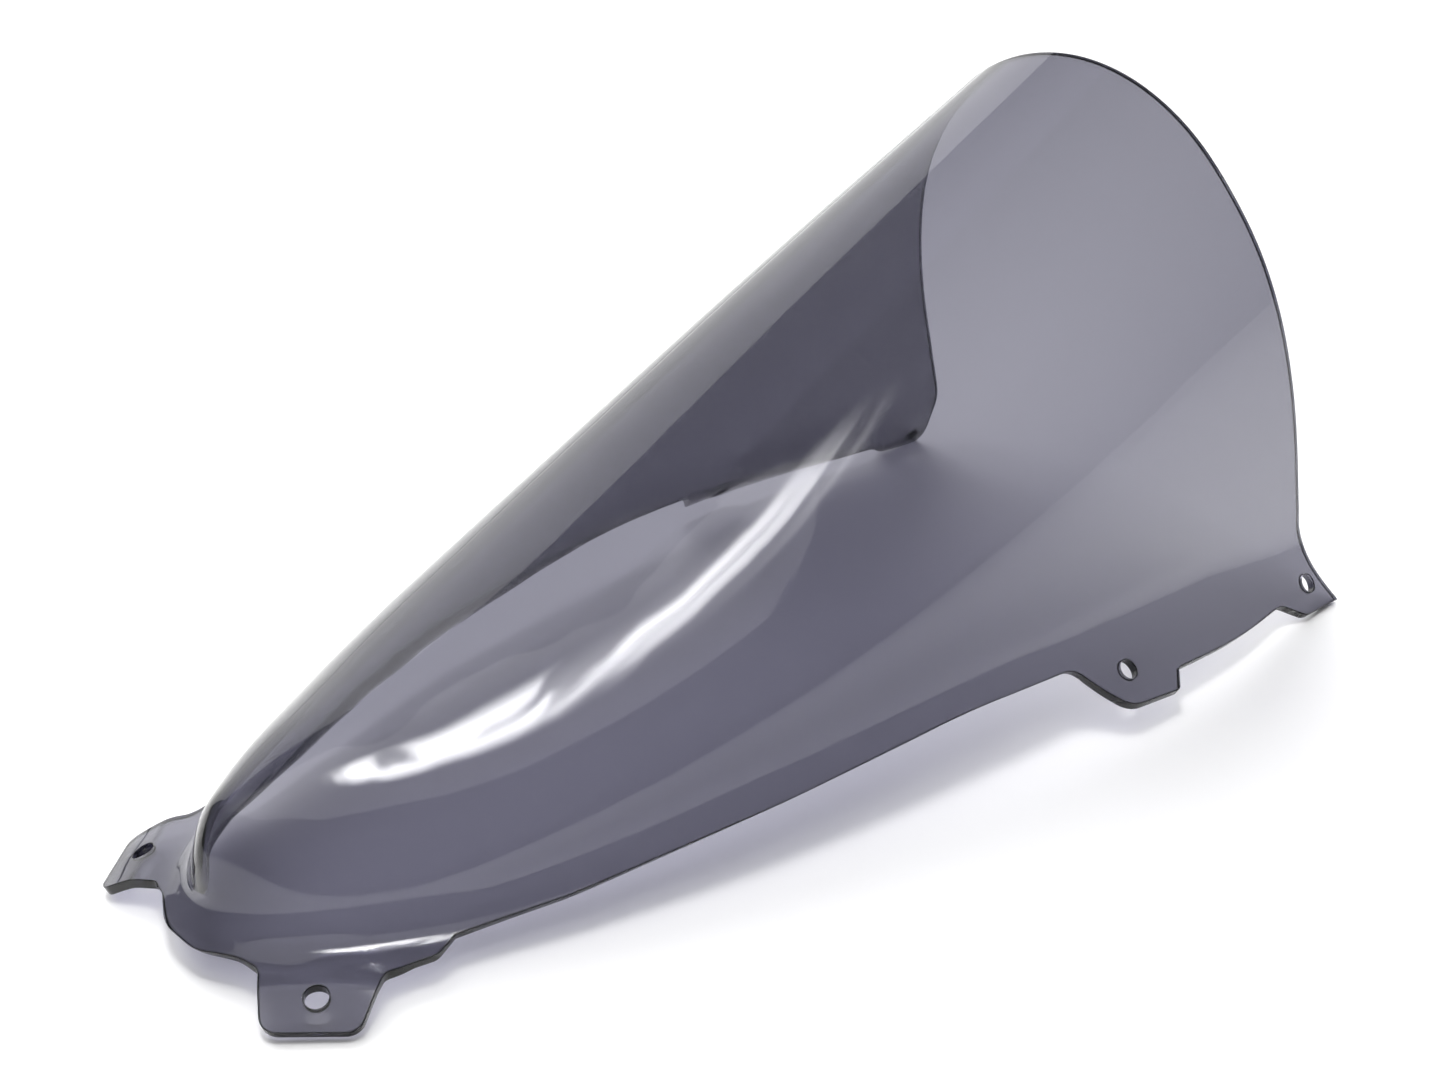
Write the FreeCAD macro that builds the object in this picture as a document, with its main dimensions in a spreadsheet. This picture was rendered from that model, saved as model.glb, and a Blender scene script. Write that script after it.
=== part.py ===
import FreeCAD, Part
import math
import os

# Motorcycle windscreen: one thermoformed acrylic sheet.
# Frame: +X across, +Y rearward from the nose, +Z up, floor at z = 0.
# The outer skin is a long bubble (rounded nose, arched rear) standing on a
# skirt: a flat lip with two bent-down tabs in front, a flare at the rear
# sides. The skin is thickened to the sheet and trimmed with profile cutters.

doc = FreeCAD.newDocument("windscreen")
sheet = doc.addObject("Spreadsheet::Sheet", "Sizes")

sizes = [
    ("sheet_thickness", 3.0, "acrylic sheet"),
    ("hole_diameter", 6.4, "six fixing holes"),
    ("drill_length", 16.0, "length of the hole cutters"),
    ("lift", 1.635, "raises the skin so the lowest edges stand on z = 0"),
    ("origin_station", 198.5, "station of the frame's origin, mid length"),
    ("half_width", 85.8, "bubble half width at the rear"),
    ("nose_y", 5.0, "front of the bubble at the centre line"),
    ("widest_y", 320.0, "station where the full width is reached"),
    ("base_front", 5.0, "height where the section starts to arch, nose"),
    ("base_rear", 50.0, "same, rear"),
    ("arch_front", 1.35, "section exponent, nose"),
    ("nose_soft", 40.0, "rounds the tip of the nose where the width closes"),
    ("arch_rear", 2.4, "section exponent, rear"),
    ("arch_end_y", 350.0, "station where the rear section is reached"),
    ("lip_width", 4.5, "flat lip outside the nose before it rolls down"),
    ("roll_soft", 3.0, "softness of the rolled front edge"),
    ("tab_dir_x", 0.756, "direction of a front tab in plan"),
    ("tab_dir_y", 0.654, "same, forward part"),
    ("tab_root", 17.5, "tab root, distance along the tab direction"),
    ("tab_root_z", 9.9, "skin height at the tab root"),
    ("tab_root_soft", 9.0, "softness of the bend over the tab root"),
    ("tab_valley_soft", 6.0, "softness of the valley between lip and tab"),
    ("tab_hole_at", 26.5, "tab hole, distance along the tab direction"),
    ("tab_hole_z", 6.8, "skin height at the tab hole"),
    ("tab_slope_in", 0.25, "slope between root and hole"),
    ("tab_slope_out", 0.6, "slope beyond the hole"),
    ("front_hole_x", 43.9, "front tab hole"),
    ("front_hole_y", 11.1, "front tab hole"),
    ("mid_hole_x", 95.74, "side tab hole"),
    ("mid_hole_y", 281.1, "side tab hole"),
    ("rear_hole_x", 94.6, "rear tab hole"),
    ("rear_hole_y", 389.1, "rear tab hole"),
    ("front_cut_tilt", 20.0, "lean of the front trimming cut from vertical"),
    ("side_cut_tilt", 30.0, "lean of the side trimming cut from level"),
]
for row, (name, value, note) in enumerate(sizes, start=1):
    sheet.set("A%d" % row, name)
    sheet.set("B%d" % row, str(value))
    sheet.set("C%d" % row, note)
    sheet.setAlias("B%d" % row, name)

# Stations along the bubble: ridge height over the centre line.
ridge_stations = [
    (5, 29.0), (12, 39.0), (20, 43.5), (35, 48.2), (60, 53.5), (90, 61.5),
    (130, 74.2), (180, 94.8), (240, 124.0), (300, 154.0), (357, 182.5), (430, 219.0),
]
# Stations of the skirt: y, height at the foot of the wall, flare slope,
# radius of the foot, slope added where the front edge rolls down.
skirt_stations = [
    (-30, 12.3, 0.04, 6.0, 1.0), (10, 12.2, 0.06, 6.0, 0.85), (35, 12.3, 0.42, 7.0, 0.0),
    (60, 13.0, 0.42, 8.0, 0.0), (90, 15.5, 0.42, 9.0, 0.0), (150, 20.5, 0.5, 12.0, 0.0),
    (235, 23.5, 0.55, 15.0, 0.0), (262, 22.5, 0.6, 15.0, 0.0), (330, 20.0, 0.75, 15.0, 0.0),
    (400, 16.0, 1.1, 12.0, 0.0), (440, 15.0, 1.1, 12.0, 0.0),
]
first = len(sizes) + 2
for i, (y, z) in enumerate(ridge_stations):
    row = first + i
    sheet.set("A%d" % row, "ridge %d" % i)
    sheet.set("B%d" % row, str(y))
    sheet.set("C%d" % row, str(z))
    sheet.setAlias("B%d" % row, "ridge_y_%d" % i)
    sheet.setAlias("C%d" % row, "ridge_z_%d" % i)
first = first + len(ridge_stations) + 1
skirt_names = ["skirt_y", "skirt_z", "skirt_flare", "skirt_radius", "skirt_roll"]
for i, station in enumerate(skirt_stations):
    for j, value in enumerate(station):
        cell = "BCDEF"[j] + str(first + i)
        sheet.set(cell, str(value))
        sheet.setAlias(cell, "%s_%d" % (skirt_names[j], i))
doc.recompute()


def size(name):
    return float(sheet.get(name))


def natural_spline(xs, ys):
    n = len(xs)
    second = [0.0] * n
    work = [0.0] * n
    for i in range(1, n - 1):
        part = (xs[i] - xs[i - 1]) / (xs[i + 1] - xs[i - 1])
        p = part * second[i - 1] + 2.0
        second[i] = (part - 1.0) / p
        jump = (ys[i + 1] - ys[i]) / (xs[i + 1] - xs[i]) - (ys[i] - ys[i - 1]) / (xs[i] - xs[i - 1])
        work[i] = (6.0 * jump / (xs[i + 1] - xs[i - 1]) - part * work[i - 1]) / p
    for i in range(n - 2, -1, -1):
        second[i] = second[i] * second[i + 1] + work[i]

    def value(x):
        x = min(max(x, xs[0]), xs[-1])
        k = 0
        while k < n - 2 and x > xs[k + 1]:
            k += 1
        h = xs[k + 1] - xs[k]
        a = (xs[k + 1] - x) / h
        b = (x - xs[k]) / h
        bend = (a ** 3 - a) * second[k] + (b ** 3 - b) * second[k + 1]
        return a * ys[k] + b * ys[k + 1] + bend * h * h / 6.0

    return value


def steady_curve(xs, ys):
    """Hermite curve through the stations that never overshoots them."""
    n = len(xs)
    d = [(ys[i + 1] - ys[i]) / (xs[i + 1] - xs[i]) for i in range(n - 1)]
    slope = [d[0]] + [0.0] * (n - 2) + [d[-1]]
    for i in range(1, n - 1):
        if d[i - 1] * d[i] > 0:
            slope[i] = 2.0 * d[i - 1] * d[i] / (d[i - 1] + d[i])

    def value(x):
        x = min(max(x, xs[0]), xs[-1])
        k = 0
        while k < n - 2 and x > xs[k + 1]:
            k += 1
        h = xs[k + 1] - xs[k]
        t = (x - xs[k]) / h
        a = (1 + 2 * t) * (1 - t) ** 2 * ys[k] + t * (1 - t) ** 2 * h * slope[k]
        return a + t * t * (3 - 2 * t) * ys[k + 1] + t * t * (t - 1) * h * slope[k + 1]

    return value


def column(name, count):
    return [size("%s_%d" % (name, i)) for i in range(count)]


half_width = size("half_width")
nose_y = size("nose_y")
widest_y = size("widest_y")
base_front = size("base_front")
base_rear = size("base_rear")
arch_front = size("arch_front")
arch_rear = size("arch_rear")
arch_end_y = size("arch_end_y")
nose_soft = size("nose_soft")
lip_width = size("lip_width")
roll_soft = size("roll_soft")
tab_dir_x = size("tab_dir_x")
tab_dir_y = size("tab_dir_y")
tab_root = size("tab_root")
tab_root_z = size("tab_root_z")
tab_root_soft = size("tab_root_soft")
tab_valley_soft = size("tab_valley_soft")
tab_hole_at = size("tab_hole_at")
tab_hole_z = size("tab_hole_z")
tab_slope_in = size("tab_slope_in")
tab_slope_out = size("tab_slope_out")
to_frame = FreeCAD.Vector(0, -size("origin_station"), size("lift"))
ridge = natural_spline(column("ridge_y", 12), column("ridge_z", 12))
skirt_y = column("skirt_y", 11)
foot_height = steady_curve(skirt_y, column("skirt_z", 11))
flare = steady_curve(skirt_y, column("skirt_flare", 11))
foot_radius = steady_curve(skirt_y, column("skirt_radius", 11))
roll = steady_curve(skirt_y, column("skirt_roll", 11))
width_rate = half_width ** 2 / (widest_y - nose_y) ** 2


def half_width_squared(y):
    return half_width ** 2 - width_rate * (widest_y - min(y, widest_y)) ** 2


def rearward(y):
    t = min(max((y - nose_y) / (arch_end_y - nose_y), 0.0), 1.0)
    return t * (2.0 - t)


def lower_of(a, b, soft):
    h = max(soft - abs(a - b), 0.0) / soft
    return min(a, b) - h * h * soft * 0.25


def higher_of(a, b, soft):
    return -lower_of(-a, -b, soft)


def ramp(value, soft):
    return 0.5 * (value + math.sqrt(value * value + soft * soft))


def bubble(x, y, z):
    """Square-like measure: negative inside the bubble, positive outside."""
    s = rearward(y)
    base = base_front + (base_rear - base_front) * s
    rise = max(ridge(max(y, nose_y)) - base, 1.0)
    level = max((z - base) / rise, 0.0) ** (arch_front + (arch_rear - arch_front) * s)
    w2 = half_width_squared(y)
    return x * x - w2 + ramp(w2, nose_soft) * level


def skirt(x, y):
    """Height of the skirt surface, lip and tabs included."""
    w2 = half_width_squared(y)
    run = 2.0 * width_rate * (widest_y - min(y, widest_y))
    out = (x * x - w2) / math.sqrt(4.0 * x * x + run * run + 1.0)
    height = foot_height(y) - flare(y) * ramp(out, 4.0) - roll(y) * ramp(out - lip_width, roll_soft)
    along = tab_dir_x * abs(x) - tab_dir_y * y
    inner = tab_root_z - tab_slope_in * (along - tab_root - 1.5)
    outer = tab_hole_z - tab_slope_out * (along - tab_hole_at)
    root = tab_root_z + 0.8 * (along - tab_root)
    tab = lower_of(lower_of(inner, outer, 3.0), root, tab_root_soft) - 0.7 * ramp(y - 29.0, 5.0)
    return higher_of(height, tab, tab_valley_soft)


def skin(x, y, z):
    """Signed measure of the outer skin: bubble and skirt joined by a round foot."""
    e = 0.05
    here = bubble(x, y, z)
    gy = (bubble(x, y + e, z) - here) / e
    gz = (bubble(x, y, z + e) - here) / e
    a = here / math.sqrt(4.0 * x * x + gy * gy + gz * gz + 1e-6)
    s = skirt(x, y)
    b = z - s
    if b < 40.0:
        sx = (skirt(x + e, y) - s) / e
        sy = (skirt(x, y + e) - s) / e
        b = b / math.sqrt(1.0 + sx * sx + sy * sy)
    r = foot_radius(y)
    return max(r, min(a, b)) - math.hypot(max(r - a, 0.0), max(r - b, 0.0))


def skin_normal(x, y, z):
    e = 0.04
    g = FreeCAD.Vector(
        skin(x + e, y, z) - skin(x - e, y, z),
        skin(x, y + e, z) - skin(x, y - e, z),
        skin(x, y, z + e) - skin(x, y, z - e))
    return g.normalize()


def find_skin(origin, ray):
    """Point where a ray from below comes out through the skin."""
    low, high = 10.0, 320.0
    step = 6.0
    while high - step > low:
        p = origin + ray * (high - step)
        if skin(p.x, p.y, p.z) <= 0:
            break
        high -= step
    low = high - step
    p = origin + ray * low
    f_low = skin(p.x, p.y, p.z)
    p = origin + ray * high
    f_high = skin(p.x, p.y, p.z)
    for _ in range(60):
        if abs(f_high - f_low) > 1e-12:
            mid = high - f_high * (high - low) / (f_high - f_low)
        else:
            mid = 0.5 * (low + high)
        if not (low + 0.02 * (high - low) < mid < high - 0.02 * (high - low)):
            mid = 0.5 * (low + high)
        p = origin + ray * mid
        f = skin(p.x, p.y, p.z)
        if abs(f) < 1e-5 or high - low < 1e-7:
            break
        if f > 0:
            high, f_high = mid, f
        else:
            low, f_low = mid, f
    return p


# Grid of rays from a line under the floor. In front they fan forward over
# the nose and the lip; behind they stay in planes across the screen.
under = -60.0
fan_y = 60.0
fan = [(fan_y, 1.26 * (1.0 - i / 30.0)) for i in range(30)]
straight = [(fan_y + 368.0 * (i / 34.0) ** 1.1, 0.0) for i in range(35)]
spread = steady_curve([-20, 60, 150, 260, 440], [1.15, 1.15, 1.25, 1.9, 2.0])
half_count = 44
outer_rows = []
inner_rows = []
thickness = size("sheet_thickness")
for origin_y, forward in fan + straight:
    origin = FreeCAD.Vector(0, origin_y, under)
    reach = spread(origin_y - 60.0 * forward)
    half_outer = []
    half_inner = []
    for i in range(half_count + 1):
        side = reach * (i / half_count)
        p = find_skin(origin, FreeCAD.Vector(side, -forward, 1.0))
        n = skin_normal(p.x, p.y, p.z)
        half_outer.append(p + to_frame)
        half_inner.append(p + to_frame - n * thickness)
    for rows, half in ((outer_rows, half_outer), (inner_rows, half_inner)):
        left = [FreeCAD.Vector(-q.x, q.y, q.z) for q in reversed(half[1:])]
        centre = FreeCAD.Vector(0, half[0].y, half[0].z)
        rows.append(left + [centre] + half[1:])


def skin_face(rows):
    surface = Part.BSplineSurface()
    surface.interpolate(rows)
    return surface.toShape()


outer_face = skin_face(outer_rows)
inner_face = skin_face(inner_rows)
sides = []
for i in range(4):
    sides.append(Part.makeRuledSurface(outer_face.Edges[i], inner_face.Edges[i]))
shell = Part.makeShell([outer_face, inner_face] + sides)
shell.sewShape()
blank_solid = Part.makeSolid(Part.Shell(shell.Faces))
if blank_solid.Volume < 0:
    blank_solid.reverse()
blank = doc.addObject("Part::Feature", "Blank")
blank.Label = "formed_sheet"
blank.Shape = blank_solid
print("blank valid", blank_solid.isValid(), "volume", round(blank_solid.Volume))



# Trimming profiles. Each corner is (first, second, radius of the corner).
def profile(name, corners, placement):
    """Closed sketch of straight runs and round corners."""
    sketch = doc.addObject("Sketcher::SketchObject", name)
    sketch.Placement = placement
    count = len(corners)
    points = [FreeCAD.Vector(a, b, 0) for a, b, r in corners]
    starts = []
    ends = []
    arcs = []
    for i in range(count):
        p = points[i]
        r = corners[i][2]
        if r <= 0:
            starts.append(p)
            ends.append(p)
            arcs.append(None)
            continue
        before = (points[i - 1] - p).normalize()
        after = (points[(i + 1) % count] - p).normalize()
        half = 0.5 * math.acos(max(-1.0, min(1.0, before.dot(after))))
        back = r / math.tan(half)
        middle = p + (before + after).normalize() * (r / math.sin(half))
        a = p + before * back
        b = p + after * back
        centre_side = (p - middle).normalize() * r
        starts.append(a)
        ends.append(b)
        arcs.append(Part.Arc(a, middle + centre_side, b))
    for i in range(count):
        if arcs[i] is not None:
            sketch.addGeometry(arcs[i], False)
        a = ends[i]
        b = starts[(i + 1) % count]
        if a.distanceToPoint(b) > 1e-6:
            sketch.addGeometry(Part.LineSegment(a, b), False)
    return sketch


def cutter(name, sketch, direction, length):
    block = doc.addObject("Part::Extrusion", name)
    block.Base = sketch
    block.DirMode = "Custom"
    block.Dir = direction
    block.LengthFwd = length
    block.LengthRev = length
    block.Solid = True
    return block


across = FreeCAD.Placement(to_frame, FreeCAD.Rotation(FreeCAD.Vector(1, 1, 1), 120))
level = FreeCAD.Placement(to_frame, FreeCAD.Rotation())

# Rear edge: leans forward and steepens towards the top (y, z).
rear_profile = profile("RearEdge", [
    (401.5, -30, 0), (400.0, 0, 40), (394.0, 16, 40), (393.3, 27, 60), (377.5, 86.5, 300),
    (362.0, 148, 150), (357.0, 185, 60), (356.5, 230, 0), (470, 230, 0), (470, -30, 0)], across)
rear_cut = cutter("RearCut", rear_profile, FreeCAD.Vector(1, 0, 0), 150)

# Lower side edge with the middle and rear tabs (y, height seen along the cut).
side_profile = profile("SideEdge", [
    (49.5, -19.8, 0), (80, -23.1, 150), (150, -25.2, 500), (215, -25.4, 300),
    (259.5, -29.6, 9), (271.5, -50.2, 9), (294.5, -53.4, 3), (301.5, -47.3, 2.5),
    (340, -50.2, 300), (368, -48.7, 8), (378.5, -57.2, 6), (430, -60.5, 0),
    (430, -170, 0), (49.5, -170, 0)], across)
side_tilt = math.radians(size("side_cut_tilt"))
right_dir = FreeCAD.Vector(math.cos(side_tilt), 0, math.sin(side_tilt))
left_dir = FreeCAD.Vector(-math.cos(side_tilt), 0, math.sin(side_tilt))
side_right = cutter("SideCutRight", side_profile, right_dir, 160)
side_left = cutter("SideCutLeft", side_profile, left_dir, 160)
for block in (side_right, side_left):
    block.LengthRev = 0

# Front edge, one half: lip, tab and the step behind it (x, y).
front_profile = profile("FrontEdge", [
    (-60, -0.75, 0), (5.2, -0.75, 16), (17.0, 5.9, 14), (23.6, 7.3, 3), (40.7, -4.1, 5.5),
    (57.6, 14.6, 5), (47.2, 30.6, 4), (48.9, 38.6, 6), (50.8, 44.6, 5), (47.2, 53.3, 2),
    (110, 60, 0), (110, -70, 0), (-60, -70, 0)], level)
front_tilt = math.radians(size("front_cut_tilt"))
lean = math.sin(front_tilt)
front_dir = FreeCAD.Vector(tab_dir_x * lean, -tab_dir_y * lean, math.cos(front_tilt))
front_right = cutter("FrontCutRight", front_profile, front_dir, 45)
front_left = doc.addObject("Part::Mirroring", "FrontCutLeft")
front_left.Source = front_right
front_left.Normal = FreeCAD.Vector(1, 0, 0)
front_left.Base = FreeCAD.Vector(0, 0, 0)

# Fixing holes, each square to the skin.
drills = []
for label, hx, hy in (("front", "front_hole_x", "front_hole_y"), ("mid", "mid_hole_x", "mid_hole_y"),
                      ("rear", "rear_hole_x", "rear_hole_y")):
    x = size(hx)
    y = size(hy)
    low, high = -20.0, 60.0
    while high - low > 1e-6:
        z = 0.5 * (low + high)
        if skin(x, y, z) > 0:
            high = z
        else:
            low = z
    n = skin_normal(x, y, z)
    for side, sign in (("right", 1), ("left", -1)):
        axis = FreeCAD.Vector(sign * n.x, n.y, n.z)
        surface_point = FreeCAD.Vector(sign * x, y, z) + to_frame
        middle = surface_point - axis * (0.5 * thickness)
        drill = doc.addObject("Part::Cylinder", "Drill_%s_%s" % (label, side))
        drill.setExpression("Radius", "Sizes.hole_diameter / 2")
        drill.setExpression("Height", "Sizes.drill_length")
        turn = FreeCAD.Rotation(FreeCAD.Vector(0, 0, 1), axis)
        drill.Placement = FreeCAD.Placement(middle - axis * (0.5 * size("drill_length")), turn)
        drills.append(drill)
        print("hole", label, side, [round(v, 3) for v in middle], [round(v, 4) for v in axis])

steps = [rear_cut, side_right, side_left, front_right, front_left] + drills
base = blank
for i, tool in enumerate(steps):
    cut = doc.addObject("Part::Cut", "Trim%d" % i)
    cut.Base = base
    cut.Tool = tool
    base = cut
screen = base
screen.Label = "screen"
doc.recompute()

os.makedirs("parts", exist_ok=True)
for obj in doc.Objects:
    if "Invalid" in obj.State or "Error" in obj.State:
        raise RuntimeError("object failed: " + obj.Name)
    shape = getattr(obj, "Shape", None)
    if shape is not None and (shape.isNull() or not shape.isValid()):
        raise RuntimeError("bad shape: " + obj.Name)
print("solids", len(screen.Shape.Solids), "volume", round(screen.Shape.Volume), screen.Shape.BoundBox)
screen.Shape.exportStep("parts/screen.step")
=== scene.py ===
import math

import bpy
import numpy as np
from mathutils import Matrix, Vector
from mathutils.geometry import delaunay_2d_cdt


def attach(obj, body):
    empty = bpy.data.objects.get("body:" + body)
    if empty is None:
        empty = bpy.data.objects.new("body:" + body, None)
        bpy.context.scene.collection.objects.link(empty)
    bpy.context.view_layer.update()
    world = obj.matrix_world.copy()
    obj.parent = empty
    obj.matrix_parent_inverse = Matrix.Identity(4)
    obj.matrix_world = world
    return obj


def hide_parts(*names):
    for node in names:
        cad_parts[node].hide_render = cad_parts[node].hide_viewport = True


# Motorcycle windscreen: one thermoformed sheet of smoke-tinted acrylic.
# The skin is the same family of surfaces as the CAD part: a long bubble on a
# skirt with a flat lip, four side tabs and two bent-down front tabs.
# The sheet's lengths are in millimetres, with y measured back from the nose.
# The mesh turns them into metres. The stage and the camera are in metres.

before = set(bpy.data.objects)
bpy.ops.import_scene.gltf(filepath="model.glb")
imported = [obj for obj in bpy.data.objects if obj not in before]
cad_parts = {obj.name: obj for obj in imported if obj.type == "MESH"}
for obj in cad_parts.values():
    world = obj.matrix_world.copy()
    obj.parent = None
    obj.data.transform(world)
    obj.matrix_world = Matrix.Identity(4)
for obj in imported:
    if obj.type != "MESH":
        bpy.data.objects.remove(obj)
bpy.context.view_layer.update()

MM = 0.001
SHEET = 3.0
HOLE_RADIUS = 3.2
# Shift from the nose to the frame's origin, which lifts the lowest edges to z = 0.
TO_FRAME = np.array([0.0, -198.5, 1.635])

# Bubble. Pairs are nose, rear: the height where the section starts to arch,
# and the exponent of that arch.
HALF_WIDTH = 85.8
NOSE_Y = 5.0
WIDEST_Y = 320.0
BASE = (5.0, 50.0)
ARCH = (1.35, 2.4)
ARCH_END_Y = 350.0
NOSE_SOFT = 40.0
WIDTH_RATE = HALF_WIDTH ** 2 / (WIDEST_Y - NOSE_Y) ** 2

# Lip and front tabs. A tab's places are distances along its direction in plan.
LIP_WIDTH = 4.5
FLARE_SOFT = 4.0
ROLL_SOFT = 3.0
TAB_DIR = (0.756, 0.654)
TAB_ROOT = 17.5
TAB_ROOT_Z = 9.9
TAB_ROOT_RISE = 0.8
ROOT_SOFT = 9.0
VALLEY_SOFT = 6.0
TAB_HOLE = 26.5
TAB_HOLE_Z = 6.8
TAB_BEND_START = 1.5
TAB_BEND_SOFT = 3.0
TAB_SLOPE_IN = 0.25
TAB_SLOPE_OUT = 0.6
TAB_REAR_Y = 29.0
TAB_REAR_FALL = 0.7
TAB_REAR_SOFT = 5.0

# y, height of the ridge
RIDGE = [
    (5, 29.0), (12, 39.0), (20, 43.5), (35, 48.2), (60, 53.5), (90, 61.5),
    (130, 74.2), (180, 94.8), (240, 124.0), (300, 154.0), (357, 182.5), (430, 219.0),
]
# y, height at the foot of the wall, flare slope, foot radius, roll of the front edge
SKIRT = [
    (-30, 12.3, 0.04, 6.0, 1.0), (10, 12.2, 0.06, 6.0, 0.85), (35, 12.3, 0.42, 7.0, 0.0),
    (60, 13.0, 0.42, 8.0, 0.0), (90, 15.5, 0.42, 9.0, 0.0), (150, 20.5, 0.5, 12.0, 0.0),
    (235, 23.5, 0.55, 15.0, 0.0), (262, 22.5, 0.6, 15.0, 0.0), (330, 20.0, 0.75, 15.0, 0.0),
    (400, 16.0, 1.1, 12.0, 0.0), (440, 15.0, 1.1, 12.0, 0.0),
]
# Trimming profiles, each corner with its radius. The front one is x, y where its
# leaning cut meets z = 0, the side one is y, z where its tilted cut meets x = 0,
# and the rear one is y, z at every x.
FRONT_EDGE = [
    (-60, -0.75, 0), (5.2, -0.75, 16), (17, 5.9, 14), (23.6, 7.3, 3), (40.7, -4.1, 5.5),
    (57.6, 14.6, 5), (47.2, 30.6, 4), (48.9, 38.6, 6), (50.8, 44.6, 5), (47.2, 53.3, 2), (110, 60, 0),
]
SIDE_EDGE = [
    (49.5, -19.8, 0), (80, -23.1, 150), (150, -25.2, 500), (215, -25.4, 300),
    (259.5, -29.6, 9), (271.5, -50.2, 9), (294.5, -53.4, 3), (301.5, -47.3, 2.5),
    (340, -50.2, 300), (368, -48.7, 8), (378.5, -57.2, 6), (430, -60.5, 0),
]
REAR_EDGE = [
    (401.5, -30, 0), (400, 0, 40), (394, 16, 40), (393.3, 27, 60), (377.5, 86.5, 300),
    (362, 148, 150), (357, 185, 60), (356.5, 230, 0),
]
# How far the front cut leans from upright and the side cut from level
FRONT_TILT = math.radians(20)
SIDE_TILT = math.radians(30)
FRONT_DIR = np.array([
    TAB_DIR[0] * math.sin(FRONT_TILT), -TAB_DIR[1] * math.sin(FRONT_TILT), math.cos(FRONT_TILT)])
SIDE_DIR = np.array([math.cos(SIDE_TILT), 0.0, math.sin(SIDE_TILT)])
# x, y of the six fixing holes, right side
HOLES = [(43.9, 11.1), (95.74, 281.1), (94.6, 389.1)]

# Rays rise from a line below the floor. In front they fan forward over the
# nose and the lip; behind they stay in planes across the screen.
UNDER = 60.0
FAN_Y = 60.0
# y, sideways slope of the outermost rays
RAY_SPREAD = [(-20, 1.15), (60, 1.15), (150, 1.25), (260, 1.9), (440, 2.0)]
# How far along a ray the skin is looked for: from below, for the front and the
# side cut, and for a hole's centre. Then the halvings of each search, and the
# steps over which slopes and normals are measured.
CAST_REACH = 320.0
FRONT_REACH = 60.0
SIDE_REACH = 160.0
HOLE_REACH = 70.0
HALVINGS = 26
SLOPE_STEP = 0.05
NORMAL_STEP = 0.04

# Outline: points on a round corner, where the front cut may hand over to the
# side cut, the gap kept between them, and the search for the rear edge
ARC_POINTS = 13
HANDOVER_Y = 45.0
HANDOVER_GAP = 0.3
REAR_POINTS = 360
REAR_SEARCH = (330.0, 427.0)
REAR_HALVINGS = 22

# Mesh grid in the flat layout of (FLAT_SCALE * side, v)
FLAT_SCALE = 100
COLUMNS = np.linspace(-1, 1, 191)
ROWS = np.concatenate([np.linspace(-15.6, 59, 64), np.linspace(60, 404, 132)])
GRID_GAP = 0.8
MERGE_DISTANCE = 1e-7

# Cut edges: how much is broken off each corner, and the way each row of points
# faces, in degrees turned from the outer skin's normal to the inner one's
EDGE_BREAK = 0.35
RIM_TURNS = [0, 45, 90, 90, 135, 180]


def natural_spline(points):
    """Cubic spline through the points, straight at both ends."""
    xs, ys = np.array(points, float).T
    n = len(xs)
    h = np.diff(xs)
    a = np.eye(n)
    b = np.zeros(n)
    for i in range(1, n - 1):
        a[i, i - 1:i + 2] = h[i - 1], 2 * (h[i - 1] + h[i]), h[i]
        b[i] = 6 * ((ys[i + 1] - ys[i]) / h[i] - (ys[i] - ys[i - 1]) / h[i - 1])
    second = np.linalg.solve(a, b)

    def value(x):
        x = np.clip(x, xs[0], xs[-1])
        k = np.clip(np.searchsorted(xs, x, side="left") - 1, 0, n - 2)
        w = (x - xs[k]) / h[k]
        v = 1 - w
        bend = (v ** 3 - v) * second[k] + (w ** 3 - w) * second[k + 1]
        return v * ys[k] + w * ys[k + 1] + bend * h[k] ** 2 / 6

    return value


def steady_curve(xs, ys):
    """Hermite curve through the stations that never overshoots them."""
    xs = np.array(xs, float)
    ys = np.array(ys, float)
    d = np.diff(ys) / np.diff(xs)
    slope = np.zeros(len(xs))
    slope[0], slope[-1] = d[0], d[-1]
    for i in range(1, len(xs) - 1):
        if d[i - 1] * d[i] > 0:
            slope[i] = 2 * d[i - 1] * d[i] / (d[i - 1] + d[i])

    def value(x):
        x = np.clip(x, xs[0], xs[-1])
        k = np.clip(np.searchsorted(xs, x, side="left") - 1, 0, len(xs) - 2)
        h = xs[k + 1] - xs[k]
        t = (x - xs[k]) / h
        a = (1 + 2 * t) * (1 - t) ** 2 * ys[k] + t * (1 - t) ** 2 * h * slope[k]
        return a + t * t * (3 - 2 * t) * ys[k + 1] + t * t * (t - 1) * h * slope[k + 1]

    return value


ridge = natural_spline(RIDGE)
stations = np.array(SKIRT, float).T
foot_height, flare, foot_radius, roll = [steady_curve(stations[0], row) for row in stations[1:]]
spread = steady_curve(*zip(*RAY_SPREAD))


def half_width_squared(y):
    return HALF_WIDTH ** 2 - WIDTH_RATE * (WIDEST_Y - np.minimum(y, WIDEST_Y)) ** 2


def lower_of(a, b, soft):
    """The lower of two values, blended where they differ by less than soft."""
    h = np.maximum(soft - np.abs(a - b), 0) / soft
    return np.minimum(a, b) - h * h * soft * 0.25


def ramp(value, soft):
    """The value where it is positive, else 0, rounded over soft."""
    return 0.5 * (value + np.sqrt(value * value + soft * soft))


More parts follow.
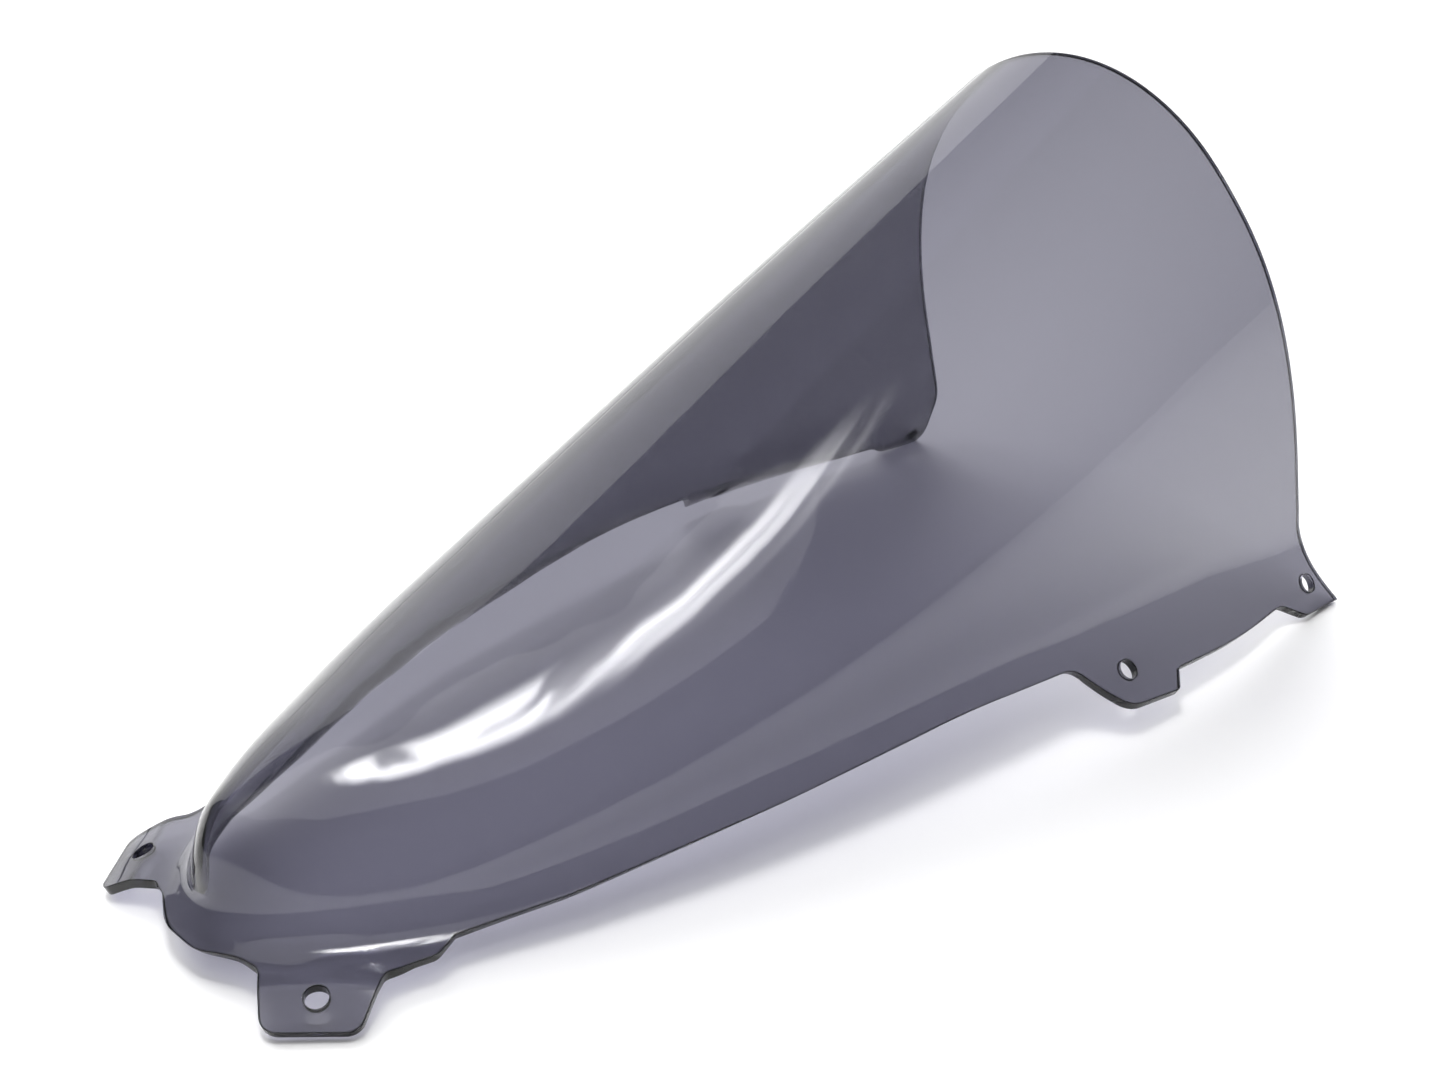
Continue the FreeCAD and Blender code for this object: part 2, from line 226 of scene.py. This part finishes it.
def bubble(x, y, z):
    """Negative inside the bubble, 0 on it."""
    t = np.clip((y - NOSE_Y) / (ARCH_END_Y - NOSE_Y), 0, 1)
    s = t * (2 - t)
    base = BASE[0] + (BASE[1] - BASE[0]) * s
    rise = np.maximum(ridge(np.maximum(y, NOSE_Y)) - base, 1)
    level = np.maximum((z - base) / rise, 0) ** (ARCH[0] + (ARCH[1] - ARCH[0]) * s)
    w2 = half_width_squared(y)
    return x * x - w2 + ramp(w2, NOSE_SOFT) * level


def skirt(x, y):
    """Height of the skirt, lip and front tabs."""
    w2 = half_width_squared(y)
    run = 2 * WIDTH_RATE * (WIDEST_Y - np.minimum(y, WIDEST_Y))
    out = (x * x - w2) / np.sqrt(4 * x * x + run * run + 1)
    rolled = roll(y) * ramp(out - LIP_WIDTH, ROLL_SOFT)
    height = foot_height(y) - flare(y) * ramp(out, FLARE_SOFT) - rolled
    along = TAB_DIR[0] * np.abs(x) - TAB_DIR[1] * y
    inner = TAB_ROOT_Z - TAB_SLOPE_IN * (along - TAB_ROOT - TAB_BEND_START)
    outer = TAB_HOLE_Z - TAB_SLOPE_OUT * (along - TAB_HOLE)
    root = TAB_ROOT_Z + TAB_ROOT_RISE * (along - TAB_ROOT)
    top = lower_of(lower_of(inner, outer, TAB_BEND_SOFT), root, ROOT_SOFT)
    tab = top - TAB_REAR_FALL * ramp(y - TAB_REAR_Y, TAB_REAR_SOFT)
    return -lower_of(-height, -tab, VALLEY_SOFT)


def skin(p):
    """Signed measure of the outer skin: bubble and skirt joined by a round foot."""
    x, y, z = p[..., 0], p[..., 1], p[..., 2]
    e = SLOPE_STEP
    here = bubble(x, y, z)
    gy = (bubble(x, y + e, z) - here) / e
    gz = (bubble(x, y, z + e) - here) / e
    a = here / np.sqrt(4 * x * x + gy * gy + gz * gz + 1e-6)
    s = skirt(x, y)
    sx = (skirt(x + e, y) - s) / e
    sy = (skirt(x, y + e) - s) / e
    b = (z - s) / np.sqrt(1 + sx * sx + sy * sy)
    r = foot_radius(y)
    return np.maximum(r, np.minimum(a, b)) - np.hypot(np.maximum(r - a, 0), np.maximum(r - b, 0))


def unit(v):
    return v / np.linalg.norm(v, axis=-1, keepdims=True)


def skin_normal(p):
    g = np.empty_like(p)
    for axis in range(3):
        step = np.zeros(3)
        step[axis] = NORMAL_STEP
        g[..., axis] = skin(p + step) - skin(p - step)
    return unit(g)


def first_hit(origin, ray, far, step=5.0):
    """Where rays, followed back from far, first meet the skin."""
    high = np.full(len(origin), float(far))
    low = high.copy()
    seeking = np.ones(len(origin), bool)
    while seeking.any() and low[seeking].max() > 0:
        low[seeking] -= step
        inside = skin(origin[seeking] + ray[seeking] * low[seeking, None]) <= 0
        index = np.nonzero(seeking)[0]
        high[index[~inside]] = low[index[~inside]]
        seeking[index[inside]] = False
    for _ in range(HALVINGS):
        mid = 0.5 * (low + high)
        outside = skin(origin + ray * mid[:, None]) > 0
        high = np.where(outside, mid, high)
        low = np.where(outside, low, mid)
    return origin + ray * (0.5 * (low + high))[:, None]


def cast(side, v):
    """Skin point for each (side, v): side is the slope over the outermost ray's."""
    forward = np.maximum(FAN_Y - v, 0) / UNDER
    origin = np.stack([0 * v, np.maximum(v, FAN_Y), 0 * v - UNDER], -1)
    ray = np.stack([side * spread(v), -forward, np.ones_like(v)], -1)
    return first_hit(origin, ray, CAST_REACH)


def flat_place(p):
    """The (side, v) that cast turns into p, as a point of the flat layout."""
    rise = p[..., 2] + UNDER
    v = np.where(p[..., 1] >= FAN_Y, p[..., 1], FAN_Y + UNDER * (p[..., 1] - FAN_Y) / rise)
    return np.stack([FLAT_SCALE * p[..., 0] / rise / spread(v), v], -1)


def rounded(corners, gap=0.6):
    """Dense points along a profile of straight runs and round corners."""
    pts = np.array([c[:2] for c in corners], float)
    line = [pts[0]]
    for i in range(1, len(pts) - 1):
        r = corners[i][2]
        before = unit(pts[i - 1] - pts[i])
        after = unit(pts[i + 1] - pts[i])
        half = 0.5 * math.acos(np.clip(before @ after, -1, 1))
        middle = pts[i] + unit(before + after) * r / math.sin(half)
        start = pts[i] + before * r / math.tan(half) - middle
        end = pts[i] + after * r / math.tan(half) - middle
        turn = math.atan2(start[0] * end[1] - start[1] * end[0], start @ end)
        for t in np.linspace(0, turn, ARC_POINTS):
            c, s = math.cos(t), math.sin(t)
            line.append(middle + [c * start[0] - s * start[1], s * start[0] + c * start[1]])
    line.append(pts[-1])
    dense = []
    for a, b in zip(line[:-1], line[1:]):
        count = max(1, math.ceil(np.linalg.norm(b - a) / gap))
        dense += [a + (b - a) * k / count for k in range(count)]
    return np.array(dense + [line[-1]])


rear_line = rounded(REAR_EDGE)
side_line = rounded(SIDE_EDGE)
front_line = rounded(FRONT_EDGE)


def behind_rear(p):
    """How far each point lies behind the rear cut."""
    return p[:, 1] - np.interp(p[:, 2], rear_line[:, 1], rear_line[:, 0])


def above_side(p):
    """How far each point lies above the side cut, followed back to x = 0."""
    seen = p[:, 2] - p[:, 0] * math.tan(SIDE_TILT)
    return seen - np.interp(p[:, 1], side_line[:, 0], side_line[:, 1])


def front_part():
    """Edge of the lip and front tab, from the middle to the side cut."""
    start = front_line[front_line[:, 0] >= 0]
    start = np.vstack([[0.0, start[0, 1]], start])
    origin = np.column_stack([start, np.zeros(len(start))])
    p = first_hit(origin, np.tile(FRONT_DIR, (len(origin), 1)), FRONT_REACH)
    p[0, 0] = 0.0
    last = np.nonzero((p[:, 1] > HANDOVER_Y) & (above_side(p) < 0))[0][0]
    return p[:last]


def side_part(front_end):
    """Edge of the skirt and its two tabs, from the front part to the rear cut."""
    origin = np.column_stack([np.zeros(len(side_line)), side_line])
    p = first_hit(origin, np.tile(SIDE_DIR, (len(origin), 1)), SIDE_REACH)
    return p[(p[:, 1] > front_end[1] + HANDOVER_GAP) & (behind_rear(p) < 0)]


def rear_part():
    """Arched rear edge, from the side cut up to the middle."""
    side = np.linspace(1.0, 0.0, REAR_POINTS)
    low = np.full(len(side), REAR_SEARCH[0])
    high = np.full(len(side), REAR_SEARCH[1])
    for _ in range(REAR_HALVINGS):
        mid = 0.5 * (low + high)
        beyond = behind_rear(cast(side, mid)) > 0
        high = np.where(beyond, mid, high)
        low = np.where(beyond, low, mid)
    p = cast(side, 0.5 * (low + high))
    return p[above_side(p) > 0]


def thinned(p, gap=1.6, bend=math.radians(6)):
    """Drops points that are close together on a nearly straight stretch."""
    kept = [0]
    way = unit(p[1] - p[0])
    for i in range(1, len(p) - 1):
        ahead = unit(p[i + 1] - p[i])
        turned = math.acos(np.clip(way @ ahead, -1, 1)) > bend
        if turned or np.linalg.norm(p[i] - p[kept[-1]]) > gap:
            kept.append(i)
            way = ahead
    return p[kept + [len(p) - 1]]


def outline():
    """The sheet's whole outer edge, as a closed loop on the outer skin."""
    front = front_part()
    side = side_part(front[-1])
    half = thinned(np.vstack([front, side, rear_part()]))
    mirrored = half[-2:0:-1] * [-1, 1, 1]
    return np.vstack([half, mirrored])


def hole_ring(x, y, count=48):
    """Rim of the hole drilled square to the skin above (x, y)."""
    centre = np.array([[x, y, 0.0]])
    centre = first_hit(centre, np.array([[0.0, 0.0, 1.0]]), HOLE_REACH)[0]
    axis = skin_normal(centre)
    e1 = unit(np.cross(axis, [0, 1, 0]))
    e2 = np.cross(axis, e1)
    turn = np.linspace(0, 2 * math.pi, count, endpoint=False)[:, None]
    around = centre + HOLE_RADIUS * (np.cos(turn) * e1 + np.sin(turn) * e2)
    below = 4.0
    reach = 9.0
    fine_step = 0.5
    return first_hit(around - below * axis, np.tile(axis, (count, 1)), reach, fine_step)


rings = [outline()]
for hole_x, hole_y in HOLES:
    ring = hole_ring(hole_x, hole_y)
    rings += [ring, ring[::-1] * [-1, 1, 1]]


def rim(ring, is_hole):
    """Rows of points and normals round a cut edge, which is square to the skin."""
    n = skin_normal(ring)
    along = unit(np.roll(ring, -1, 0) - np.roll(ring, 1, 0))
    out = unit(np.cross(along, n))
    inside = ring.mean(0) - ring
    if (np.einsum("ij,ij->i", out, inside).mean() > 0) != is_hole:
        out = -out
    rows = []
    for k, degrees in enumerate(RIM_TURNS):
        t = math.radians(degrees)
        near_outer = k < len(RIM_TURNS) // 2
        depth = EDGE_BREAK if near_outer else SHEET - EDGE_BREAK
        way = math.cos(t) * n + math.sin(t) * out
        rows.append((ring - EDGE_BREAK * out - depth * n + EDGE_BREAK * way, way))
    return rows


def inside_loop(points, loop):
    """Even-odd test of plane points against a closed loop."""
    inside = np.zeros(len(points), bool)
    x, y = points.T
    for a, b in zip(loop, np.roll(loop, -1, 0)):
        crosses = (a[1] > y) != (b[1] > y)
        if crosses.any():
            at = a[0] + (y - a[1]) * (b[0] - a[0]) / (b[1] - a[1] + 1e-12)
            inside ^= crosses & (x < at)
    return inside


def clear_of(points, loop, gap):
    """True where a point is further than gap from every loop point."""
    clear = np.ones(len(points), bool)
    for a in loop:
        clear &= ((points - a) ** 2).sum(1) > gap * gap
    return clear


def grid_inside(loops):
    """Grid points inside the outline, outside the holes and clear of both."""
    side, v = [g.ravel() for g in np.meshgrid(COLUMNS, ROWS)]
    grid = np.column_stack([FLAT_SCALE * side, v])
    keep = inside_loop(grid, loops[0])
    for loop in loops:
        keep &= clear_of(grid, loop, GRID_GAP)
    for loop in loops[1:]:
        keep &= ~inside_loop(grid, loop)
    return grid[keep]


def flat_triangles(loops, grid):
    """Triangles over the loops' points and the grid's, with the holes left open."""
    flat = np.vstack(loops + [grid])
    edges = []
    start = 0
    loop_of = np.zeros(len(flat), int)
    for i, loop in enumerate(loops):
        n = len(loop)
        edges += [(start + k, start + (k + 1) % n) for k in range(n)]
        loop_of[start:start + n] = i
        start += n
    inside_only = 1
    _, _, faces, source, _, _ = delaunay_2d_cdt(
        [Vector(p) for p in flat.tolist()], edges, [], inside_only, MERGE_DISTANCE)
    origin = [ids[0] for ids in source]
    triangles = []
    for face in faces:
        corners = [origin[k] for k in face]
        touched = {loop_of[k] for k in corners}
        in_hole = max(corners) < start and len(touched) == 1 and touched != {0}
        if not in_hole:
            triangles.append(corners)
    return np.array(triangles)


def turned_outward(triangles, places, ways):
    """The triangles, each wound so that it faces the way of its first corner."""
    a, b, c = (places[triangles[:, k]] for k in range(3))
    flip = np.einsum("ij,ij->i", np.cross(b - a, c - a), ways[triangles[:, 0]]) < 0
    triangles[flip] = triangles[flip][:, ::-1]
    return triangles


def edge_strip(rows, ids):
    """Quads between the rows of a rim, whose points have these ids."""
    (p0, p1), way = rows[2][0][:2], rows[2][1][0]
    p2 = rows[3][0][0]
    outward = np.cross(p1 - p0, p2 - p0) @ way > 0
    n = len(ids[0])
    quads = []
    for upper, lower in zip(ids[:-1], ids[1:]):
        for k in range(n):
            j = (k + 1) % n
            quad = [upper[k], upper[j], lower[j], lower[k]]
            quads.append([int(q) for q in (quad if outward else quad[::-1])])
    return quads


def sheet_mesh():
    """The sheet: outer and inner skin, joined by the rims of outline and holes."""
    rims = [rim(ring, i > 0) for i, ring in enumerate(rings)]
    loops = [flat_place(rows[0][0]) for rows in rims]
    grid = grid_inside(loops)
    points = cast(grid[:, 0] / FLAT_SCALE, grid[:, 1])
    normals = skin_normal(points)

    places = [rows[0][0] for rows in rims] + [points]
    ways = [rows[0][1] for rows in rims] + [normals]
    triangles = turned_outward(flat_triangles(loops, grid), np.vstack(places), np.vstack(ways))
    layer = sum(len(part) for part in places)
    faces = triangles.tolist() + (triangles[:, ::-1] + layer).tolist()
    places += [rows[-1][0] for rows in rims] + [points - SHEET * normals]
    ways += [rows[-1][1] for rows in rims] + [-normals]

    cut_faces = []
    start = 0
    added = 2 * layer
    for rows in rims:
        n = len(rows[0][0])
        ids = [np.arange(start, start + n)]
        for place, way in rows[1:-1]:
            places.append(place)
            ways.append(way)
            ids.append(np.arange(added, added + n))
            added += n
        ids.append(np.arange(start, start + n) + layer)
        cut_faces += edge_strip(rows, ids)
        start += n

    xyz = (np.vstack(places) + TO_FRAME) * MM
    mesh = bpy.data.meshes.new("windscreen_sheet")
    mesh.from_pydata(xyz.tolist(), [], faces + cut_faces)
    mesh.polygons.foreach_set("use_smooth", [True] * len(mesh.polygons))
    mesh.polygons.foreach_set("material_index", [0] * len(faces) + [1] * len(cut_faces))
    mesh.update()
    mesh.normals_split_custom_set_from_vertices(np.vstack(ways).tolist())
    return mesh


# ---------------------------------------------------------------- materials
# What one 3 mm layer passes: red, green, blue.
PASSES = (0.262, 0.26, 0.305)
soaked = [-math.log(part) / (SHEET * MM) for part in PASSES]
DENSITY = 1.25 * max(soaked)
TINT = (*[1 - s / DENSITY for s in soaked], 1.0)
ACRYLIC_IOR = 1.49

# Roughness: size of its patches, and the noise levels between which it swings
PATCH_SCALE = 60.0
PATCH_LEVELS = (0.35, 0.75)
# The drawn nose is wavier than the smooth panels behind it: the stretch of y
# where the waves grow, and their share at its two ends.
WAVES_GROW = (-0.03, -0.15)
WAVES_SHARE = (0.15, 1.0)


def new_material(name):
    m = bpy.data.materials.new(name)
    m.use_nodes = True
    m.node_tree.nodes.clear()
    return m, m.node_tree.nodes, m.node_tree.links


def add_node(nodes, kind, **values):
    """A new node with constants on its sockets: From_Min is the socket From Min."""
    node = nodes.new(kind)
    for socket, value in values.items():
        node.inputs[socket.replace("_", " ")].default_value = value
    return node


def map_range(nodes, source, target):
    return add_node(
        nodes, "ShaderNodeMapRange",
        From_Min=source[0], From_Max=source[1], To_Min=target[0], To_Max=target[1])


def maths(nodes, kind, operation):
    node = nodes.new(kind)
    node.operation = operation
    return node


def patchy_roughness(nodes, links, place, low, high):
    noise = add_node(nodes, "ShaderNodeTexNoise", Scale=PATCH_SCALE, Detail=4.0)
    links.new(place.outputs["Object"], noise.inputs["Vector"])
    span = map_range(nodes, PATCH_LEVELS, (low, high))
    links.new(noise.outputs["Fac"], span.inputs["Value"])
    return span.outputs["Result"]


def drawing_waves(nodes, links, place, scale, distance):
    """Shallow waves of the drawn sheet, as a bumped normal."""
    waves = add_node(nodes, "ShaderNodeTexNoise", Scale=scale, Detail=2.0)
    links.new(place.outputs["Object"], waves.inputs["Vector"])
    axes = nodes.new("ShaderNodeSeparateXYZ")
    links.new(place.outputs["Object"], axes.inputs["Vector"])
    share = map_range(nodes, WAVES_GROW, WAVES_SHARE)
    links.new(axes.outputs["Y"], share.inputs["Value"])
    height = maths(nodes, "ShaderNodeMath", "MULTIPLY")
    links.new(waves.outputs["Fac"], height.inputs[0])
    links.new(share.outputs["Result"], height.inputs[1])
    bump = add_node(nodes, "ShaderNodeBump", Strength=1.0, Distance=distance)
    links.new(height.outputs["Value"], bump.inputs["Height"])
    return bump.outputs["Normal"]


def acrylic(name, rough, rough_swing, bump_scale, bump_distance):
    """Clear tinted acrylic: glass that lets lamps through, absorbing inside."""
    m, nodes, links = new_material(name)
    out = nodes.new("ShaderNodeOutputMaterial")
    glass = add_node(nodes, "ShaderNodeBsdfPrincipled", IOR=ACRYLIC_IOR)
    glass.inputs["Base Color"].default_value = (1, 1, 1, 1)
    glass.inputs["Transmission Weight"].default_value = 1.0
    clear = nodes.new("ShaderNodeBsdfTransparent")
    path = nodes.new("ShaderNodeLightPath")
    mix = nodes.new("ShaderNodeMixShader")
    links.new(path.outputs["Is Shadow Ray"], mix.inputs["Fac"])
    links.new(glass.outputs["BSDF"], mix.inputs[1])
    links.new(clear.outputs["BSDF"], mix.inputs[2])
    links.new(mix.outputs["Shader"], out.inputs["Surface"])
    place = nodes.new("ShaderNodeTexCoord")
    roughness = patchy_roughness(nodes, links, place, rough, rough + rough_swing)
    links.new(roughness, glass.inputs["Roughness"])
    waved = drawing_waves(nodes, links, place, bump_scale, bump_distance)
    links.new(waved, glass.inputs["Normal"])
    soak = add_node(nodes, "ShaderNodeVolumeAbsorption", Color=TINT, Density=DENSITY)
    links.new(soak.outputs["Volume"], out.inputs["Volume"])
    return m


screen_mesh = sheet_mesh()
screen = bpy.data.objects.new("windscreen_acrylic", screen_mesh)
bpy.context.collection.objects.link(screen)
screen_mesh.materials.append(acrylic(
    "smoke_acrylic", rough=0.0, rough_swing=0.04, bump_scale=16.0, bump_distance=0.0009))
screen_mesh.materials.append(acrylic(
    "cut_edge", rough=0.12, rough_swing=0.25, bump_scale=900.0, bump_distance=0.00004))
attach(screen, "root")
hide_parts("screen")

# -------------------------------------------------------------------- stage
FLOOR_HALF = 8.0
FLOOR_COLOR = (0.93, 0.93, 0.935, 1)
FLOOR_ROUGHNESS = 0.9


def floor_material():
    m, nodes, links = new_material("pale_floor")
    out = nodes.new("ShaderNodeOutputMaterial")
    paint = add_node(nodes, "ShaderNodeBsdfPrincipled", Roughness=FLOOR_ROUGHNESS)
    paint.inputs["Base Color"].default_value = FLOOR_COLOR
    links.new(paint.outputs["BSDF"], out.inputs["Surface"])
    return m


floor_mesh = bpy.data.meshes.new("floor")
floor_corners = [
    (x * FLOOR_HALF, y * FLOOR_HALF, 0) for x, y in ((-1, -1), (1, -1), (1, 1), (-1, 1))]
floor_mesh.from_pydata(floor_corners, [], [(0, 1, 2, 3)])
floor = bpy.data.objects.new("floor", floor_mesh)
bpy.context.collection.objects.link(floor)
floor_mesh.materials.append(floor_material())


def soft_light(name, place, aim, width, height, power):
    lamp = bpy.data.lights.new(name, "AREA")
    lamp.shape = "RECTANGLE"
    lamp.size = width
    lamp.size_y = height
    lamp.energy = power
    obj = bpy.data.objects.new(name, lamp)
    obj.location = place
    way = Vector(aim) - Vector(place)
    obj.rotation_euler = way.to_track_quat("-Z", "Y").to_euler()
    bpy.context.collection.objects.link(obj)
    return obj


# Streaks of the strip light: noise seed, stretch over the box's two sides,
# the noise levels that are darkest and brightest, and the strength of both.
STREAK_SEED = 2.6
STREAK_STRETCH = (0.9, 5.5, 0)
STREAK_LEVELS = (0.36, 0.62)
STREAK_STRENGTH = (0.25, 2.2)
# Shares of the box's half size: no glow beyond the first, full glow within the second.
GLOW_FADE = (0.95, 0.1)


def streaky(lamp):
    """Fades a box light out to its rim and streaks it along its length."""
    lamp.use_nodes = True
    nodes, links = lamp.node_tree.nodes, lamp.node_tree.links
    glow = nodes["Emission"]
    place = nodes.new("ShaderNodeNewGeometry")
    stretch = maths(nodes, "ShaderNodeVectorMath", "MULTIPLY")
    stretch.inputs[1].default_value = STREAK_STRETCH
    links.new(place.outputs["Parametric"], stretch.inputs[0])
    noise = add_node(nodes, "ShaderNodeTexNoise", Scale=1.0, Detail=3.0)
    noise.noise_dimensions = "4D"
    noise.inputs["W"].default_value = STREAK_SEED
    links.new(stretch.outputs["Vector"], noise.inputs["Vector"])
    streak = map_range(nodes, STREAK_LEVELS, STREAK_STRENGTH)
    streak.interpolation_type = "SMOOTHSTEP"
    links.new(noise.outputs["Fac"], streak.inputs["Value"])
    # both sides of the box from 0..1 to -1..1, and the distance from its middle
    centred = maths(nodes, "ShaderNodeVectorMath", "MULTIPLY_ADD")
    centred.inputs[1].default_value = (2, 2, 0)
    centred.inputs[2].default_value = (-1, -1, 0)
    links.new(place.outputs["Parametric"], centred.inputs[0])
    reach = maths(nodes, "ShaderNodeVectorMath", "LENGTH")
    links.new(centred.outputs["Vector"], reach.inputs[0])
    fade = map_range(nodes, GLOW_FADE, (0.0, 1.0))
    fade.interpolation_type = "SMOOTHSTEP"
    links.new(reach.outputs["Value"], fade.inputs["Value"])
    both = maths(nodes, "ShaderNodeMath", "MULTIPLY")
    links.new(fade.outputs["Result"], both.inputs[0])
    links.new(streak.outputs["Result"], both.inputs[1])
    links.new(both.outputs["Value"], glow.inputs["Strength"])


# The sun is a very soft sky light from the left, and the wide box overhead
# fills. The gloss shows neither. It shows the sheen and the strip above the
# nose, which gives the bright streak, and the card that lights the left side.
SKY_WAY = (0.75, -0.3, -0.65)
sun_data = bpy.data.lights.new("sky", "SUN")
sun_data.energy = 2.9
sun_data.angle = math.radians(55)
sun = bpy.data.objects.new("sky", sun_data)
sun.rotation_euler = Vector(SKY_WAY).to_track_quat("-Z", "Y").to_euler()
sun.visible_glossy = False
bpy.context.collection.objects.link(sun)
overhead = soft_light(
    "overhead", place=(0.1, 0.0, 1.5), aim=(0.1, 0.0, 0), width=2.0, height=1.8, power=9)
overhead.visible_glossy = False
soft_light("sheen", place=(0.1, -0.45, 1.4), aim=(0.1, -0.45, 0), width=1.5, height=0.9, power=4)
strip = soft_light(
    "strip", place=(0.09, -0.15, 1.25), aim=(0.09, -0.15, 0), width=0.66, height=0.46, power=17)
strip.rotation_euler.z = math.radians(-24)
streaky(strip.data)
soft_light("left_card", place=(-1.5, 0.75, 0.65), aim=(0, 0, 0.1), width=2.6, height=1.3, power=11)


def surroundings(dim, pale):
    """Pale where it is seen, directly or through the sheet, and dimmer as light
    and in the gloss, as a studio is beyond its lit table."""
    world = bpy.data.worlds.new("studio")
    world.use_nodes = True
    nodes, links = world.node_tree.nodes, world.node_tree.links
    sky = nodes["Background"]
    sky.inputs["Color"].default_value = (1, 1, 1, 1)
    rays = nodes.new("ShaderNodeLightPath")
    seen = maths(nodes, "ShaderNodeMath", "MAXIMUM")
    links.new(rays.outputs["Is Camera Ray"], seen.inputs[0])
    links.new(rays.outputs["Is Transmission Ray"], seen.inputs[1])
    level = map_range(nodes, (0.0, 1.0), (dim, pale))
    links.new(seen.outputs["Value"], level.inputs["Value"])
    links.new(level.outputs["Result"], sky.inputs["Strength"])
    return world


bpy.context.scene.world = surroundings(dim=0.25, pale=0.95)

# ------------------------------------------------------------------- camera
# Place and axes in the frame, solved from the photo's outline and holes.
CAMERA_PLACE = (0.4076, -0.3906, 0.3360)
CAMERA_FORWARD = (-0.6503, 0.6168, -0.4435)
CAMERA_RIGHT = (0.6887, 0.7251, -0.0013)

camera_data = bpy.data.cameras.new("camera")
camera_data.lens = 50.0
camera_data.sensor_width = 36.0
camera_data.clip_start = 0.01
camera = bpy.data.objects.new("camera", camera_data)
bpy.context.collection.objects.link(camera)
forward = Vector(CAMERA_FORWARD).normalized()
right = Vector(CAMERA_RIGHT)
right = (right - forward * right.dot(forward)).normalized()
upward = right.cross(forward)
camera_axes = Matrix((right, upward, -forward)).transposed().to_4x4()
camera.matrix_world = Matrix.Translation(CAMERA_PLACE) @ camera_axes
bpy.context.scene.camera = camera
bpy.context.scene.view_settings.view_transform = "Standard"
